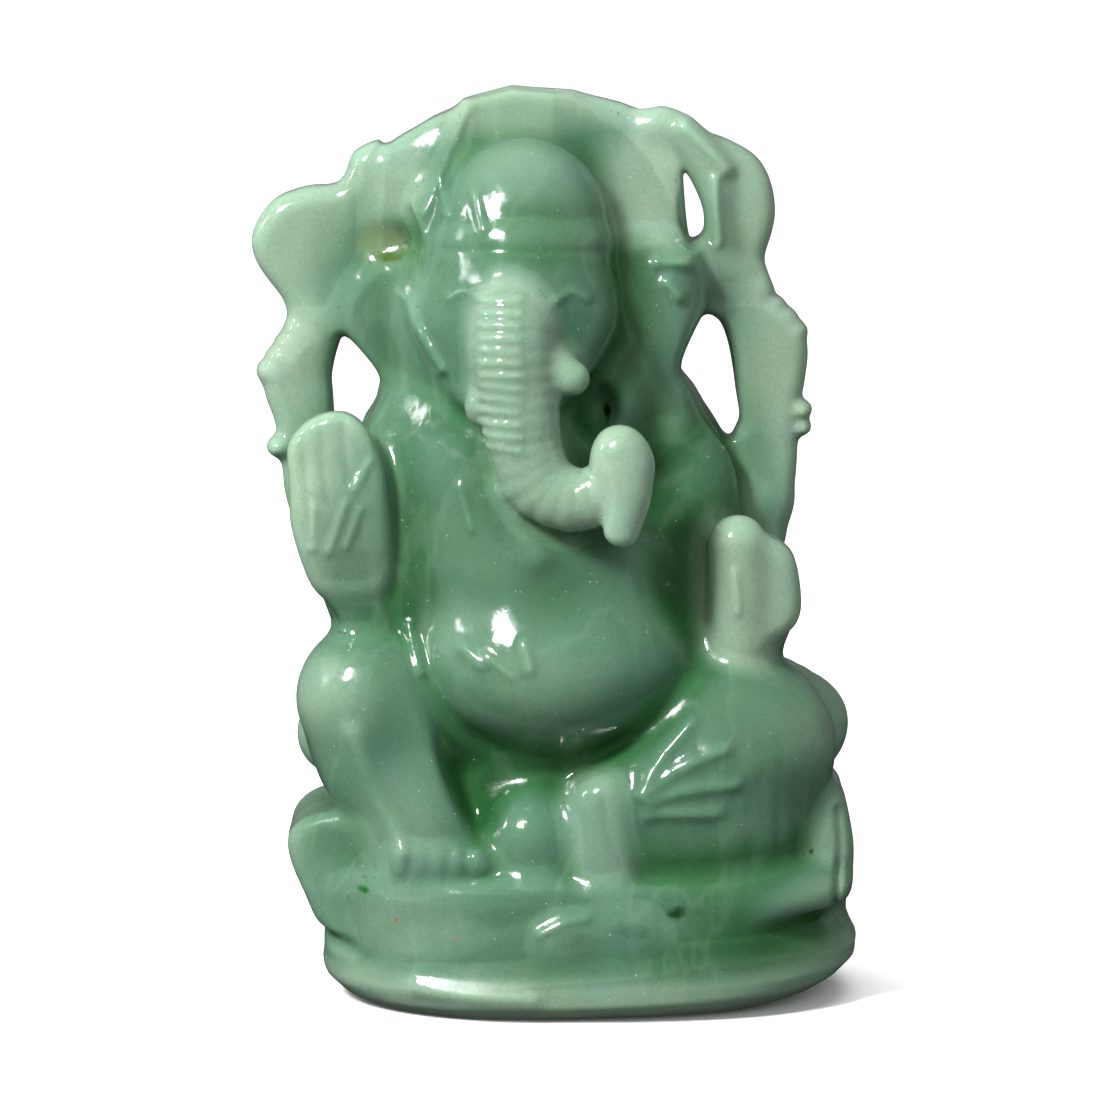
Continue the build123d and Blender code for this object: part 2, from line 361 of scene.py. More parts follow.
# ---- body ----
stone.member(
    "torso",
    egg((-3.6, -3.0, 34.2), (14.4, 12.2, 9.6)),
    egg((-8.0, -1.4, 50.5), (11.6, 8.2, 12.5)),
    egg((-5.0, -1.2, 43.5), (13.2, 10.4, 9.0)),
    egg((-10.0, -0.4, 20.0), (8.0, 7.6, 8.0)),
    limb((-18.6, -2.2, 35.0, 4.2), (-18.2, -2.2, 43.0, 3.8), (-18.0, -1.0, 50.0, 3.8)),
    limb((10.6, 0.0, 35.0, 4.6), (9.8, 0.2, 43.0, 4.4), (9.0, 1.0, 50.0, 4.4)),
    limb((-3.6, 1.0, 16.0, 9.0), (-4.0, 1.0, 32.0, 9.5), (-6.0, 1.5, 58.0, 8.5)),
    egg((-16.4, 1.4, 54.0), (6.4, 5.4, 7.2), (0, -14, 0)),
    egg((5.6, 4.4, 52.6), (6.4, 5.2, 7.2), (0, 14, 0)),
    plate([(-22.0, 33.0), (-22.4, 48.0), (-21.0, 57.0), (-15.0, 62.5), (2.0, 62.5), (9.0, 58.5), (13.6, 52.0),
           (14.5, 42.0), (14.0, 33.0)], 0.4, 8.0, edge=2.0),
    plate([(-21.0, 11.0), (-21.0, 34.0), (15.0, 34.0), (16.0, 11.0)], 0.0, 10.6, edge=3.0),
    blend=3.6,
)
stone.member(
    "bolster",
    limb((-25.5, 6.2, 24.8, 4.3), (-20.0, 6.2, 25.6, 5.8), (-3.0, 6.4, 25.8, 6.4), (14.0, 6.2, 27.2, 6.4),
         (20.4, 6.2, 25.8, 5.6)),
)
stone.member(
    "right_leg",
    limb((-8.0, 0.0, 27.0, 7.0), (-17.0, -2.6, 30.0, 7.4), (-22.0, -3.6, 30.8, 6.9)),
    limb((-22.0, -4.4, 30.0, 6.9), (-20.8, -4.8, 24.4, 6.6), (-18.4, -5.4, 19.0, 6.2),
         (-17.4, -5.6, 15.6, 6.0)),
    limb((-22.6, -0.6, 25.4, 5.4), (-20.4, -1.6, 20.4, 4.4)),
    plate([(-24.0, 30.0), (-18.0, 30.6), (-14.4, 22.6), (-10.8, 15.8), (-10.8, 13.0), (-20.0, 13.0),
           (-23.0, 21.0)],
          lambda x, z: -13.1 + 0.16 * (z - 15.0) + 0.06 * (x + 15.0) ** 2, -4.0, edge=0.8),
    blend=2.4, soft=1.0,
)
toes = [egg((-18.8 + 1.85 * i, -12.5 - 0.1 * i, 15.4), (0.85 + 0.05 * i, 0.9, 1.4)) for i in range(5)]
stone.member(
    "right_foot",
    plate([(-20.0, 12.8), (-19.8, 16.2), (-16.0, 17.2), (-11.4, 16.6), (-10.2, 15.0), (-10.0, 12.8)],
          lambda x, z: -12.9 + 0.04 * (x + 15.0) ** 2, -6.0, edge=1.2),
    *toes,
    blend=0.6, soft=1.0,
)
stone.member(
    "left_leg",
    egg((13.4, -2.6, 27.4), (10.4, 9.6, 8.0), (0, 8, 0)),
    limb((18.4, -4.6, 24.0, 5.2), (11.0, -7.6, 23.6, 6.2), (4.6, -9.0, 21.6, 4.8)),
    limb((3.0, 0.0, 25.0, 6.5), (12.0, -1.0, 26.0, 8.0)),
    limb((2.0, -6.2, 17.0, 6.4), (12.0, -7.2, 17.0, 6.4), (18.4, -3.0, 17.6, 5.4)),
    blend=3.4, soft=1.8,
)
stone.member(
    "left_foot",
    plate([(-1.8, 22.4), (1.0, 24.0), (3.4, 22.6), (4.1, 18.5), (4.4, 12.6), (1.2, 11.6), (-1.6, 12.2),
           (-1.9, 18.5)], lambda x, z: -14.0 - 0.08 * (22.0 - z) + 0.10 * (x - 1.0) ** 2, -6.0, edge=1.8),
    soft=1.6,
)
stone.member(
    "dhoti_pleat",
    egg((-5.4, -8.6, 15.4), (5.6, 5.2, 6.6), (10, -6, 0)),
    soft=3.0,
)

# ---- back slab ----
slab_outline = [
    (LEAN - 0.5, HEIGHT + 0.1), (-12.0, 89.0), (-16.0, 87.3), (-19.5, 85.2), (-22.0, 83.0), (-24.5, 79.0),
    (-25.5, 73.0), (-25.6, 68.0), (-24.0, 65.8), (-22.6, 64.0), (-21.1, 61.5), (-21.5, 59.4), (-23.4, 57.2),
    (-23.0, 48.0), (-21.6, 41.0), (-18.0, 35.0), (-12.0, 31.6), (-4.0, 30.4), (4.0, 31.6), (9.6, 35.6),
    (13.0, 42.0), (14.0, 55.0), (12.6, 56.8),
    (10.3, 60.2), (8.6, 62.8), (9.4, 65.0), (11.4, 67.9), (13.0, 70.5), (11.0, 75.0), (9.6, 76.0),
    (9.0, 80.8), (8.6, 84.0), (6.4, 87.4), (2.8, 88.7), (-2.0, 89.8),
]


def gable_ridge(z):
    """x of the polished ridge that runs down the left of the gable behind the crown."""
    return -16.6 + 0.46 * (z - 78.5)


def gable_front(x, z):
    """y of the gable's leaning face, with a bevel left of the ridge and the right side falling away."""
    lean = -1.6 + 0.42 * np.maximum(z - 76.0, 0)
    return lean + 0.42 * np.maximum(gable_ridge(z) - x, 0) + 0.30 * np.maximum(x + 4.0, 0)


def slab_front(x, z):
    """y of the slab's front: flat low down, and swept forward to the gable's ridge beside the crown."""
    flat = 4.4 + 0.04 * np.maximum(z - 60, 0)
    sweep = 0.62 * np.clip(x + 23.0, 0, 8) * np.clip((z - 66.0) / 6, 0, 1) * np.clip((91.5 - z) / 10, 0, 1)
    return flat - sweep * np.clip((-10.0 - x) / 3, 0, 1)


stone.member(
    "back_slab",
    plate(slab_outline, slab_front, lambda x, z: 11.6 - 0.04 * (z - 40), edge=1.0, smooth=False),
    soft=1.5,
)

# ---- head ----
stone.member(
    "head",
    egg((-6.8, -2.0, 70.6), (9.4, 8.4, 8.8)),
    limb((-7.2, -4.4, 68.6, 6.4), (-7.6, -6.0, 62.6, 5.2)),
    limb((-12.2, -4.6, 67.4, 3.4), (-11.2, -6.4, 62.4, 2.6)),
    limb((-1.6, -4.6, 68.0, 3.6), (-3.2, -6.6, 63.6, 2.6)),
    blend=3.0, soft=1.0,
)
stone.member(
    "crown_band",
    limb((-14.4, 0.0, 75.4, 1.5), (-12.4, -4.6, 76.0, 1.5), (-6.8, -7.2, 76.4, 1.5), (-1.2, -4.6, 76.0, 1.5),
         (0.8, 0.0, 75.6, 1.5)),
    soft=2.4,
)
gable = [(-8.0, 90.2), (-12.8, 89.0), (-18.0, 79.0), (-16.0, 74.6), (8.6, 74.6), (8.4, 80.0), (6.0, 86.0),
         (-2.0, 89.6)]
stone.member(
    "crown",
    egg((-6.9, -0.4, 76.4), (8.6, 7.8, 9.4), (-8, 0, 0)),
    plate(gable, gable_front, 8.0, edge=0.6, smooth=False),
    blend=2.4, soft=1.2,
)
trunk_path = [
    (-7.4, -3.6, 74.4, 3.6), (-7.8, -9.4, 68.0, 4.2), (-7.2, -10.6, 61.0, 3.9), (-6.4, -11.0, 56.0, 3.6),
    (-4.6, -11.4, 52.6, 3.4), (-1.4, -12.2, 51.4, 3.2), (1.2, -13.0, 53.0, 2.6), (2.2, -13.6, 55.2, 2.4),
]
stone.member(
    "trunk",
    limb(*trunk_path, ring_depth=0.07, ring_pitch=1.42),
    soft=1.6,
)
stone.member(
    "trunk_sweet",
    limb((2.6, -13.6, 56.2, 2.8), (3.3, -14.2, 52.6, 2.5), (2.8, -14.5, 48.8, 1.8)),
    egg((3.6, -13.6, 55.2), (2.3, 2.2, 2.4)),
    soft=1.0,
)
stone.member(
    "right_tusk",
    egg((-11.2, -10.0, 60.4), (1.4, 1.9, 2.0)),
    soft=0.8,
)
stone.member(
    "left_tusk",
    limb((-5.0, -9.4, 64.6, 2.3), (-2.0, -11.0, 63.2, 1.7)),
    soft=1.2,
)
stone.member(
    "right_ear",
    plate([(-14.5, 73.0), (-18.4, 73.4), (-22.0, 72.0), (-24.4, 68.8), (-23.8, 65.0), (-21.6, 61.6),
           (-20.6, 57.6), (-18.2, 54.6), (-15.2, 56.4), (-13.5, 61.0)],
          3.2, 7.5, edge=0.8),
    egg((-16.4, 2.2, 65.0), (3.6, 4.2, 8.5), (0, -12, 0)),
    egg((-13.8, -0.6, 64.0), (3.6, 4.6, 9.0), (0, -10, 0)),
    blend=2.4, soft=3.0,
)
stone.member(
    "left_ear",
    plate([(2.0, 75.0), (6.6, 75.4), (10.4, 74.0), (11.4, 69.4), (9.6, 65.2), (8.9, 62.6), (10.2, 60.0),
           (9.4, 56.4), (6.0, 53.6), (3.0, 57.0), (1.0, 64.0)],
          lambda x, z: 2.6 - 3.4 * np.exp(-((x - 8.6) / 3.2) ** 2), 7.5, edge=1.6),
    egg((3.6, 1.6, 66.0), (5.4, 4.6, 9.5)),
    egg((1.0, -0.6, 60.0), (4.4, 4.4, 5.0)),
    blend=3.0, soft=2.6,
)

# ---- front arms ----
stone.member(
    "right_front_arm",
    limb((-17.6, 1.0, 54.0, 4.6), (-21.0, 1.6, 47.6, 4.6), (-23.0, 0.2, 42.2, 4.0), (-22.0, -2.0, 37.4, 3.6)),
    plate([(-20.5, 34.6), (-20.3, 46.0), (-22.0, 52.0), (-27.6, 53.0), (-29.3, 49.6), (-28.9, 46.2),
           (-27.6, 42.4), (-26.0, 40.0), (-24.9, 38.0), (-24.4, 34.0)], lambda x, z: -7.2 - 0.04 * (z - 46.0),
          2.0, edge=1.5),
    blend=1.8, soft=1.6,
)
stone.member(
    "right_front_hand",
    plate([(-20.6, 42.0), (-20.4, 52.0), (-21.2, 55.6), (-22.6, 58.0), (-24.6, 59.2), (-27.0, 58.8),
           (-28.8, 57.6), (-30.0, 55.6), (-29.8, 52.0), (-29.0, 47.0), (-26.8, 41.6)],
          lambda x, z: -8.0 + 0.10 * np.maximum(z - 50.0, 0) + 0.20 * np.maximum(46.0 - z, 0)
          + 0.16 * np.maximum(-27.0 - x, 0), lambda x, z: -2.6 - 0.1 * (z - 50.0), edge=1.0),
    soft=1.8,
)
stone.member(
    "left_front_arm",
    limb((7.6, 4.0, 52.6, 4.6), (10.0, 4.0, 47.0, 4.4), (13.2, 2.2, 41.0, 4.6), (15.4, -1.4, 37.0, 4.2)),
    soft=1.8,
)
stone.member(
    "left_front_hand",
    limb((14.7, -4.6, 33.0, 3.0), (14.5, -5.4, 40.0, 3.0), (14.3, -5.6, 46.0, 2.9)),
    plate([(13.6, 46.6), (17.0, 46.8), (19.4, 45.4), (20.4, 43.0), (20.5, 38.8), (18.4, 36.6), (13.6, 34.6)],
          lambda x, z: -7.4 + 0.12 * np.maximum(x - 16, 0), -1.2, edge=1.6),
    blend=1.0, soft=1.6,
)

# ---- rear arms and what they hold ----
stone.member(
    "right_rear_arm",
    plate([(-25.2, 66.6), (-29.4, 66.4), (-31.0, 64.4), (-32.8, 62.0), (-32.8, 59.4), (-31.9, 56.6),
           (-31.2, 52.6), (-30.0, 47.0), (-25.8, 46.0), (-25.8, 57.6), (-26.1, 61.5), (-25.6, 65.0)],
          4.0, 9.6, edge=1.8),
    limb((-27.4, 6.4, 50.4, 3.0), (-23.4, 6.4, 46.0, 3.6), (-18.0, 6.0, 44.0, 4.0)),
    egg((-31.4, 5.6, 54.3), (1.3, 2.2, 1.1)),
    soft=1.8,
)
knuckles = [egg((-29.6 - 0.95 * i, 6.4, 66.0 - 1.35 * i), (1.1, 2.1, 0.85)) for i in range(4)]
stone.member(
    "right_rear_hand",
    limb((-29.2, 7.0, 63.6, 2.7), (-27.2, 7.0, 66.6, 2.7)),
    *knuckles,
    blend=0.5, soft=1.6,
)
stone.member(
    "axe",
    plate([(-21.6, 84.8), (-23.5, 83.8), (-24.5, 82.0), (-25.6, 80.7), (-28.7, 80.3), (-32.0, 78.8),
           (-34.0, 75.6), (-33.6, 72.8), (-31.4, 69.8), (-29.6, 67.4), (-26.0, 65.8), (-20.0, 66.0),
           (-21.0, 76.0), (-21.4, 83.6)], 4.2, 9.8, edge=1.9),
    egg((-22.6, 6.8, 82.6), (1.5, 2.2, 1.5)),
    soft=2.2,
)
stone.member(
    "left_rear_arm",
    plate([(16.6, 70.4), (18.9, 68.9), (20.9, 66.8), (21.7, 64.0), (21.3, 60.6), (20.8, 58.0), (20.6, 52.0),
           (20.0, 48.0), (19.0, 43.4), (15.4, 43.4), (14.8, 50.0), (14.0, 55.4), (14.7, 57.2), (14.2, 60.0),
           (13.6, 64.2), (12.8, 66.6), (11.6, 68.0), (13.4, 71.0)], 3.8, 9.4, edge=1.8),
    limb((17.0, 6.4, 48.6, 3.2), (12.6, 6.4, 46.0, 3.8), (8.0, 6.0, 45.0, 4.0)),
    egg((21.0, 5.8, 58.0), (1.1, 2.2, 0.9)),
    egg((21.1, 5.8, 56.2), (0.9, 2.0, 0.8)),
    soft=1.6,
)
knuckles = [egg((17.0 + 1.15 * i, 6.4, 69.8 - 1.3 * i), (1.15, 2.1, 0.85)) for i in range(4)]
stone.member(
    "left_rear_hand",
    limb((17.7, 7.0, 65.0, 2.8), (14.7, 7.0, 69.6, 2.8)),
    *knuckles,
    blend=0.5, soft=0.8,
)
stone.member(
    "noose",
    plate([(6.6, 87.6), (9.3, 87.4), (10.9, 86.0), (13.6, 85.0), (16.4, 83.2), (17.9, 80.6), (18.3, 77.4),
           (17.5, 74.2), (16.4, 71.6), (12.0, 70.0), (7.0, 72.0), (7.0, 80.0)], 4.6, 9.6, edge=1.8),
    limb((6.4, 6.0, 86.4, 1.5), (9.6, 5.4, 85.2, 1.6), (12.0, 5.2, 81.6, 1.6), (12.3, 5.0, 77.6, 1.4),
         (12.8, 5.2, 74.4, 1.6), (13.6, 6.0, 71.6, 1.6)),
    limb((5.6, 3.4, 74.6, 1.3), (9.0, 3.6, 73.4, 1.5), (13.0, 4.6, 72.0, 1.8), (16.0, 5.6, 71.0, 1.6)),
    blend=1.4, soft=1.8,
)

# ---- openings through the carving ----
right_arm_opening = [
    (-24.9, 65.4), (-23.3, 64.0), (-21.5, 61.5), (-21.7, 59.9), (-22.4, 58.3), (-23.5, 56.8), (-25.3, 57.5),
    (-25.5, 60.2), (-25.5, 61.6), (-25.3, 63.8),
]
left_arm_opening = [
    (11.4, 67.4), (10.3, 66.2), (8.9, 62.9), (10.7, 60.5), (12.8, 57.4), (13.6, 55.6), (14.2, 56.6),
    (13.9, 60.0), (13.1, 64.4), (12.3, 66.8),
]
noose_opening = [(9.1, 81.8), (9.9, 81.0), (11.0, 78.4), (11.2, 76.2), (10.5, 75.2), (9.7, 75.4), (9.3, 78.8)]
for opening, rim in ((right_arm_opening, 1.4), (left_arm_opening, 1.4), (noose_opening, 1.0)):
    stone.hollow(plate(opening, front=-3.0, back=16.0, edge=0.2), soft=rim)

# ---- hollows ----
axe_scoop = egg((-21.0, 2.2, 75.5), (2.9, 1.6, 2.2), (0, 8, 0))
mouth = egg((0.6, -6.6, 59.4), (2.4, 4.0, 3.2))
chest_crease = egg((-2.4, -15.8, 43.0), (6.2, 3.6, 3.6), (-24, 0, 0))
beside_shin = limb((-14.0, -13.2, 26.0, 1.2), (-11.8, -13.2, 21.4, 1.6), (-9.6, -14.2, 16.8, 0.9))
left_seat_groove = limb((13.0, -16.9, 8.8, 0.4), (18.0, -14.8, 8.7, 0.7), (23.0, -9.6, 8.9, 1.0),
                        (27.4, 0.0, 9.2, 0.9), (27.4, 6.0, 9.2, 0.8))
right_seat_groove = limb((-24.0, -10.6, 6.2, 0.5), (-27.0, -5.4, 6.8, 0.8), (-28.4, 0.0, 7.2, 1.1),
                         (-28.0, 8.0, 7.2, 1.0))
for hollow, rim in ((axe_scoop, 0.8), (mouth, 1.5), (chest_crease, 2.5), (beside_shin, 1.6),
                    (left_seat_groove, 1.4), (right_seat_groove, 1.2)):
    stone.hollow(hollow, soft=rim)

# ---- carved lines, each a list of (x, z) points ----
finger_grooves = [
    [(-28.6, 57.0), (-28.3, 52.0), (-27.9, 46.6)],
    [(-26.8, 58.6), (-26.6, 54.0), (-26.2, 50.6)],
    [(-24.6, 58.8), (-24.4, 55.0), (-24.0, 52.4)],
]
for groove in finger_grooves:
    stone.score(groove, 0.4, 0.16, back=-5.0)

# Short ridges left by the carver's tool, which catch the light on the palm, chest, belly, slab and mouse.
tool_marks = [
    [(-27.5, 50.2), (-27.7, 46.0)],
    [(-24.3, 50.6), (-25.2, 47.8), (-26.0, 45.6)],
    [(-22.8, 50.0), (-24.2, 46.3)],
    [(-21.9, 54.6), (-23.4, 52.0)],
    [(-13.1, 52.2), (-12.6, 50.2), (-12.0, 48.2)],
    [(-10.4, 36.2), (-8.0, 34.5)],
    [(-15.2, 82.2), (-14.4, 78.6)],
    [(-11.6, 80.8), (-10.8, 77.4)],
    [(-5.2, 8.9), (-3.0, 10.1), (-0.6, 10.6)],
]
for mark in tool_marks:
    stone.score(mark, 0.45, -0.28, back=5.0)
chest_swelling = [(-9.6, 51.6), (-7.6, 48.6), (-5.4, 45.6)]
stone.score(chest_swelling, 1.3, -0.5, back=-5.0)

# Short rings on the trunk's right side, from the lowest up.
TRUNK_RINGS = 13
TRUNK_RING_PITCH = 1.2
LOWEST_RING = 56.6
for i in range(TRUNK_RINGS):
    z = LOWEST_RING + TRUNK_RING_PITCH * i
    stone.score([(-10.9, z), (-9.0, z + 0.1), (-7.2, z)], 0.4, -0.32, back=-8.0)

# Polished edges that carry the long highlights: points, width and depth.
polished_edges = [
    ([(-12.4, 88.5), (-14.4, 84.0), (-16.7, 78.6)], 0.6, -0.5),
    ([(-17.5, 3.4), (-12.0, 2.8), (-6.0, 2.6)], 1.0, -0.5),
    ([(-23.6, 28.0), (-21.4, 21.8), (-19.4, 18.6), (-18.6, 16.8)], 1.1, -0.55),
    ([(9.2, 86.6), (11.4, 84.6), (13.4, 82.4)], 0.8, -0.7),
    ([(12.2, 81.4), (12.3, 78.5), (12.6, 75.0)], 0.5, -0.5),
    ([(6.4, 73.6), (9.6, 73.5)], 0.7, -0.6),
    ([(7.4, 71.6), (8.6, 70.2)], 0.7, -0.6),
    ([(-18.4, 70.2), (-17.6, 67.8), (-16.2, 65.6), (-15.0, 63.6)], 0.7, -0.6),
    ([(-12.8, 36.8), (-11.0, 35.4)], 0.7, -0.45),
    ([(-6.8, 37.6), (-6.2, 35.2)], 0.6, -0.4),
    ([(-18.2, 38.0), (-16.8, 34.0)], 0.6, -0.45),
    ([(13.9, 43.6), (14.3, 39.6)], 0.4, -0.3),
]
for edge, width, depth in polished_edges:
    stone.score(edge, width, depth, back=6.0)

petal_groove = [(24.3, 19.4), (24.5, 15.0), (24.0, 11.0)]
stone.score(petal_groove, 0.35, 0.5, back=6.0)

# Folds of cloth that fan out over the left thigh.
folds = [
    [(4.6, 22.6), (6.6, 26.0), (9.6, 29.4)],
    [(5.2, 22.4), (8.4, 25.0), (13.0, 27.0)],
    [(5.6, 21.6), (8.6, 22.8), (14.0, 23.4)],
    [(5.4, 20.4), (7.6, 20.6), (12.0, 20.6)],
]
for fold in folds:
    stone.score(fold, 0.7, -0.4, back=-3.0)

for eye_x in (-12.6, -2.0):
    stone.score([(eye_x - 1.6, 70.8), (eye_x, 71.6), (eye_x + 1.5, 70.9)], 0.5, -0.25, back=-2.0)
under_crown_band = [(-14.6, 75.2), (-7.0, 75.4), (0.8, 75.0)]
stone.score(under_crown_band, 0.5, 0.12, back=-2.0)

stone.wobble(spacing=4.6, depth=0.12, seed=7)
stone.wobble(spacing=2.0, depth=0.07, seed=8)
stone.stand_flat()
stone.join_strays()


# ---- meshing ----
def box_blur(values, reach):
    """Averages over a cube reaching that many grid steps each way, twice, so that it falls off smoothly."""
    for axis in (0, 1, 2, 0, 1, 2):
        pad = [(0, 0)] * 3
        pad[axis] = (reach + 1, reach)
        total = np.cumsum(np.pad(values, pad), axis=axis, dtype=np.float32)
        size = values.shape[axis]
        upper = [slice(None)] * 3
        lower = [slice(None)] * 3
        upper[axis] = slice(2 * reach + 1, 2 * reach + 1 + size)
        lower[axis] = slice(0, size)
        values = (total[tuple(upper)] - total[tuple(lower)]) / (2 * reach + 1)
    return values


def sample(values, points):
    """Trilinear reading of a grid at points given in grid units."""
    base = np.clip(np.floor(points).astype(int), 0, np.array(values.shape) - 2)
    t = (points - base).astype(np.float32)
    i, j, k = base.T
    total = 0
    for a in (0, 1):
        for b in (0, 1):
            for c in (0, 1):
                weight = (t[:, 0] if a else 1 - t[:, 0]) * (t[:, 1] if b else 1 - t[:, 1])
                weight = weight * (t[:, 2] if c else 1 - t[:, 2])
                total = total + weight * values[i + a, j + b, k + c]
    return total


def shift(values, step):
    """The grid's values at each cell's corner, step cells along."""
    i, j, k = step
    nx, ny, nz = (n - 1 for n in values.shape)
    return values[i:i + nx, j:j + ny, k:k + nz]


def mesh_stone():
    """Vertices, normals and quads of every member, by surface nets over the owners of the grid points."""
    field = stone.field
    label = np.where(field < 0, stone.owner, 0).astype(np.int8)
    corners = [(i, j, k) for i in (0, 1) for j in (0, 1) for k in (0, 1)]
    first = shift(label, corners[0])
    mixed = np.zeros(first.shape, bool)
    for corner in corners[1:]:
        mixed |= shift(label, corner) != first
    cell = np.argwhere(mixed)
    number = np.full(mixed.shape, -1, np.int32)
    number[mixed] = np.arange(len(cell))

    labels = [label[tuple((cell + c).T)] for c in corners]
    fields = [field[tuple((cell + c).T)] for c in corners]
    on_surface = np.min(labels, 0) == 0
    total, count = np.zeros((len(cell), 3), np.float32), np.zeros(len(cell), np.float32)
    for a, low in enumerate(corners):
        for b, high in enumerate(corners):
            if sum(abs(p - q) for p, q in zip(low, high)) != 1 or a > b:
                continue
            outer = (labels[a] == 0) != (labels[b] == 0)
            inner = (labels[a] != labels[b]) & ~outer & ~on_surface
            gap = fields[a] - fields[b]
            t = np.where(outer, fields[a] / np.where(gap == 0, 1, gap), 0.5)[:, None]
            point = np.array(low) * (1 - t) + np.array(high) * t
            used = (outer | inner)[:, None]
            total += np.where(used, point, 0)
            count += used[:, 0]
    points = cell + total / np.maximum(count, 1)[:, None]

    slopes = np.gradient(field)
    normals = np.zeros_like(points)
    for _ in range(2):
        grad = np.stack([sample(s, points[on_surface]) for s in slopes], 1)
        size = np.maximum((grad**2).sum(1), 1e-6)[:, None]
        move = sample(field, points[on_surface])[:, None] * grad / size
        points[on_surface] -= np.clip(move, -0.5, 0.5)
    normals[on_surface] = grad / np.sqrt(size)

    quads, sides = [], []
    for axis in range(3):
        step = [0, 0, 0]
        step[axis] = 1
        n = label.shape
        inner = [slice(1, n[i] - 1) for i in range(3)]
        inner[axis] = slice(0, n[axis] - 1)
        low = label[tuple(inner)]
        further = [slice(s.start + d, s.stop + d) for s, d in zip(inner, step)]
        high = label[tuple(further)]
        at = np.argwhere(low != high)
        pair = np.stack([low[low != high], high[low != high]], 1)
        at = at + [s.start for s in inner]
        u, v = [i for i in range(3) if i != axis]
        if axis == 1:
            u, v = v, u
        ring = []
        for du, dv in ((-1, -1), (0, -1), (0, 0), (-1, 0)):
            offset = [0, 0, 0]
            offset[u], offset[v] = du, dv
            ring.append(number[tuple((at + offset).T)])
        quads.append(np.stack(ring, 1))
        sides.append(pair)
    return points, normals, np.concatenate(quads), np.concatenate(sides), on_surface


def grid_to_metres(points):
    """Grid units to Blender's metres."""
    return (LOW + points * STEP) * MM


def member_borders():
    """Ones at the grid points where one member meets another inside the stone."""
    label = np.where(stone.field < 0.6, stone.owner, 0)
    border = np.zeros(label.shape, np.float32)
    for axis in range(3):
        size = label.shape[axis]
        low, high = label.take(range(size - 1), axis), label.take(range(1, size), axis)
        meets = ((low != high) & (low > 0) & (high > 0)).astype(np.float32)
        pad = [(0, 0)] * 3
        pad[axis] = (0, 1)
        border = np.maximum(border, np.pad(meets, pad))
    return border


# Painted light: how far each member's colour is lightened, standing in for light that comes through it.
# Some members, such as the trunk and the left front hand, are also lightened where the lamps leave them in
# shade.
PAINTED_LIGHT_MEMBERS = dict(
    trunk=0.7, trunk_sweet=0.4, left_tusk=0.5, right_tusk=0.4, left_front_hand=0.95, right_front_hand=0.2,
    left_rear_arm=0.3, left_rear_hand=0.3, noose=0.4, left_foot=0.4, left_front_arm=0.2, bolster=0.5,
    left_seat_petal=0.35, right_ear=0.1, left_ear=0.1,
)
points, normals, quads, sides, on_surface = mesh_stone()
solid = (stone.field < 0).astype(np.float32)
painted_light_per_member = np.array([PAINTED_LIGHT_MEMBERS.get(name, 0.0) for name in stone.names], np.float32)


def around(values, reach):
    """Grid values averaged over a cube that reaches that many millimetres, at every vertex."""
    return sample(box_blur(values, round(reach / STEP)), points)


# What the stone's material reads at each vertex: how much stone is close by and further off, how near the next
# member is, and how much painted light lightens the stone.
VERTEX_VALUES = dict(
    fine=around(solid, 0.9),
    broad=around(solid, 3.2),
    bulk=around(solid, 6.4),
    seam=around(member_borders(), 0.7),
    painted_light=around(painted_light_per_member[stone.owner], 0.9),
)


def build_piece(name, number, material):
    """The closed mesh of one member, with the shared field's normals wherever it shows."""
    forward, backward = sides[:, 0] == number, sides[:, 1] == number
    faces = np.concatenate([quads[forward], quads[backward][:, ::-1]])
    outer = np.concatenate([sides[forward, 1] == 0, sides[backward, 0] == 0])
    used, index = np.unique(faces, return_inverse=True)
    index = index.reshape(-1, 4)
    mesh = bpy.data.meshes.new(name)
    mesh.vertices.add(len(used))
    mesh.vertices.foreach_set("co", grid_to_metres(points[used]).astype(np.float32).ravel())
    mesh.loops.add(index.size)
    mesh.loops.foreach_set("vertex_index", index.astype(np.int32).ravel())
    mesh.polygons.add(len(index))
    mesh.polygons.foreach_set("loop_start", np.arange(0, index.size, 4, dtype=np.int32))
    mesh.polygons.foreach_set("use_smooth", np.ones(len(index), bool))
    mesh.update(calc_edges=True)
    flat = np.zeros(len(index) * 3, np.float32)
    mesh.polygons.foreach_get("normal", flat)
    corner = np.repeat(flat.reshape(-1, 3), 4, axis=0)
    smooth = normals[used][index.ravel()]
    shows = np.repeat(outer, 4) & (np.abs(smooth).sum(1) > 0)
    corner[shows] = smooth[shows]
    mesh.normals_split_custom_set(corner)
    for label, values in VERTEX_VALUES.items():
        mesh.attributes.new(label, "FLOAT", "POINT").data.foreach_set("value", values[used].astype(np.float32))
    piece = bpy.data.objects.new(name, mesh)
    bpy.context.scene.collection.objects.link(piece)
    mesh.materials.append(material)
    return piece


